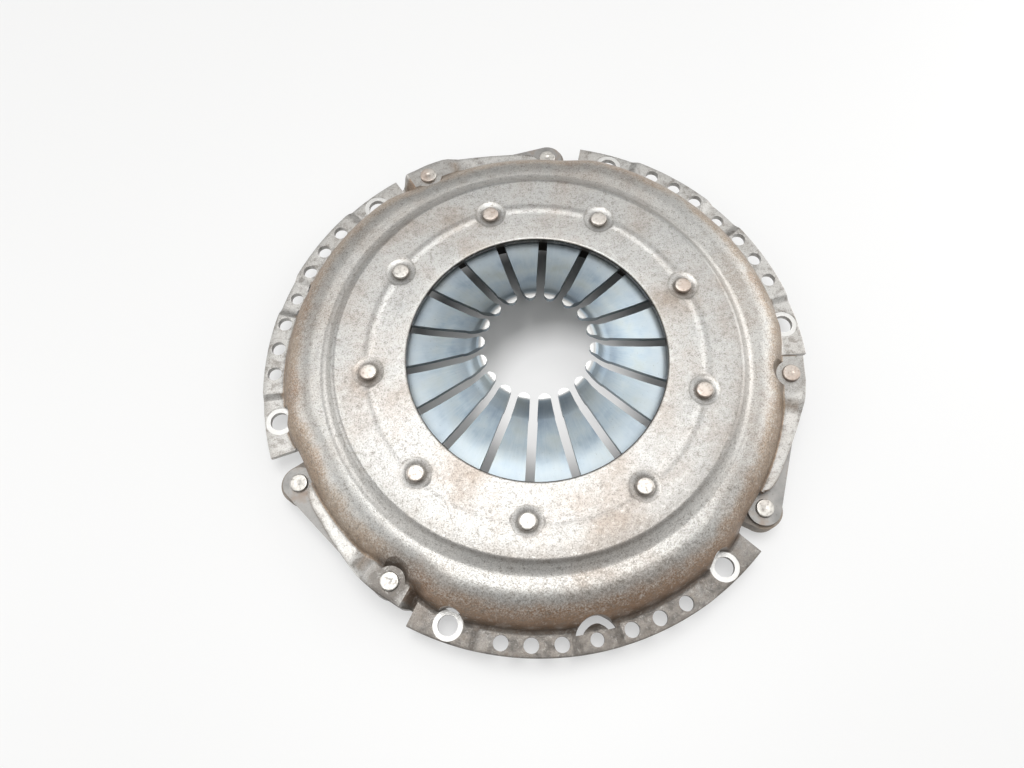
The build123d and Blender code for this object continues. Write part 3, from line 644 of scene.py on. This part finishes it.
def spring_strip():
    """Cold-rolled spring strip: smooth grey with a satin sheen and a brownish film."""
    material, tree, coords = new_material("rolled_spring_strip")
    film = add(tree, "TexNoise", coords, PER_M / 9, 4, 0.55)
    spots = add(tree, "TexNoise", coords, PER_M / 1.2, 4, 0.55)
    base = add(tree, "ValToRGB", film, stops=((0.35, "#7c7b79"), (0.55, "#8f8d8a"), (0.7, "#8a7f76")))
    spotted = add(tree, "MapRange", spots, 0.6, 0.72, 0.0, 0.45)
    finish_surface(tree, add(tree, "Mix", spotted, base, "#5f5852", data_type="RGBA"), 0.95,
                   add(tree, "MapRange", film, 0.3, 0.7, 0.36, 0.48), spots, 0.15, 0.15)
    return material


STRIP = spring_strip()
for n, sector in enumerate(SECTORS, 1):
    for leaf in ("upper", "middle", "lower"):
        piece = smooth_copy(f"strap_leaf_{n}_{leaf}", f"drive_strap_{n}_{leaf}")
        piece.data.materials.append(STRIP)
        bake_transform(piece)
        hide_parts(f"drive_strap_{n}_{leaf}")

# Studio.
# A plain pale floor under the friction face, one soft lamp overhead and a weaker one at each side.
# The room is brightest overhead and pale at both sides, as with windows.
FLOOR_HALF = 6
LIGHT_POOL_CENTRE = (0.01, -0.012, FRICTION_FACE_Z)
FLOOR_RAMP_PER_M = 8                    # the ramp from the middle of the opening outwards is 125 mm long
LAMPS = (("overhead", 0.7, 8.0, (0.02, 0.24, 1.38)),   # name, width, watts, place
         ("left", 0.9, 3.0, (-1.3, 0.3, 0.7)),
         ("right", 1.2, 6.5, (1.3, 0.35, 0.6)))
BRIGHTEST = (0.03, 0.15, 0.988)         # direction of the brightest part of the room
ROOM_STRENGTH = 1.1

floor_mesh = bpy.data.meshes.new("floor")
floor_mesh.from_pydata([(sx * FLOOR_HALF, sy * FLOOR_HALF, FRICTION_FACE_Z)
                        for sx, sy in ((-1, -1), (1, -1), (1, 1), (-1, 1))], [], [(0, 1, 2, 3)])
floor = bpy.data.objects.new("floor", floor_mesh)
bpy.context.scene.collection.objects.link(floor)
material, tree, coords = new_material("matt_white_floor")
matt = add(tree, "BsdfPrincipled", named={"Base Color": "#d6d6d5", "Metallic": 0.25, "Roughness": 0.5})
rays = add(tree, "LightPath").node.outputs
mirrored = add(tree, "Math", rays["Is Glossy Ray"], rays["Is Transmission Ray"], operation="MAXIMUM")
seen = add(tree, "Math", rays["Is Camera Ray"], mirrored, operation="MAXIMUM")
# White where nothing stands, and a painted pool of light in the middle of the opening; under the object the
# floor keeps its shadow
away = add(tree, "VectorMath", coords, LIGHT_POOL_CENTRE, operation="DISTANCE")
share = add(tree, "ValToRGB", add(tree, "Math", away, FLOOR_RAMP_PER_M, operation="MULTIPLY"), stops=(
    (0.22, 0.55), (0.36, 0.0), (0.66, 0.0), (0.86, 0.45)))
white = add(tree, "Emission", "#ffffff", 1.0)
add(tree, "OutputMaterial",
    add(tree, "MixShader", add(tree, "Math", seen, share, operation="MULTIPLY"), matt, white))
floor.data.materials.append(material)

for name, size, energy, place in LAMPS:
    lamp = bpy.data.lights.new(name, "AREA")
    lamp.size = size
    lamp.energy = energy
    holder = bpy.data.objects.new(name, lamp)
    bpy.context.scene.collection.objects.link(holder)
    holder.location = place
    holder.rotation_euler = (-Vector(place)).to_track_quat("-Z", "Y").to_euler()

world = bpy.data.worlds.new("room")
bpy.context.scene.world = world
world.use_nodes = True
tree = world.node_tree
tree.nodes.clear()
way = add(tree, "TexCoord", give="Generated")
climb = add(tree, "VectorMath", way, BRIGHTEST, operation="DOT_PRODUCT")
side = add(tree, "Math", add(tree, "SeparateXYZ", way, give="X"), operation="ABSOLUTE")
windows = add(tree, "MapRange", side, 0.42, 0.85, 1.0, 2.3)
room = add(tree, "ValToRGB", climb, stops=(
    (0.0, 0.43), (0.55, 0.53), (0.8, 0.62), (0.9, 0.72), (0.965, 0.93), (1.0, 1.0)))
strength = add(tree, "Math", windows, ROOM_STRENGTH, operation="MULTIPLY")
add(tree, "OutputWorld", add(tree, "Background", room, strength))

# Camera, fitted to the bolt holes and rims for an image of 1024 by 768
EYE = (-0.0356, -0.1420, 0.3709)
right = Vector((0.97995, -0.19875, -0.01378))
up = Vector((0.19058, 0.91504, 0.35551))
toward = Vector((-0.05804, -0.35101, 0.93457))
lens = bpy.data.cameras.new("view")
lens.sensor_width = 36
lens.lens = 28.62
lens.clip_start = 0.01
viewer = bpy.data.objects.new("view", lens)
bpy.context.scene.collection.objects.link(viewer)
viewer.matrix_world = Matrix.Translation(EYE) @ Matrix((right, up, toward)).transposed().to_4x4()
bpy.context.scene.camera = viewer
bpy.context.scene.view_settings.view_transform = "Standard"
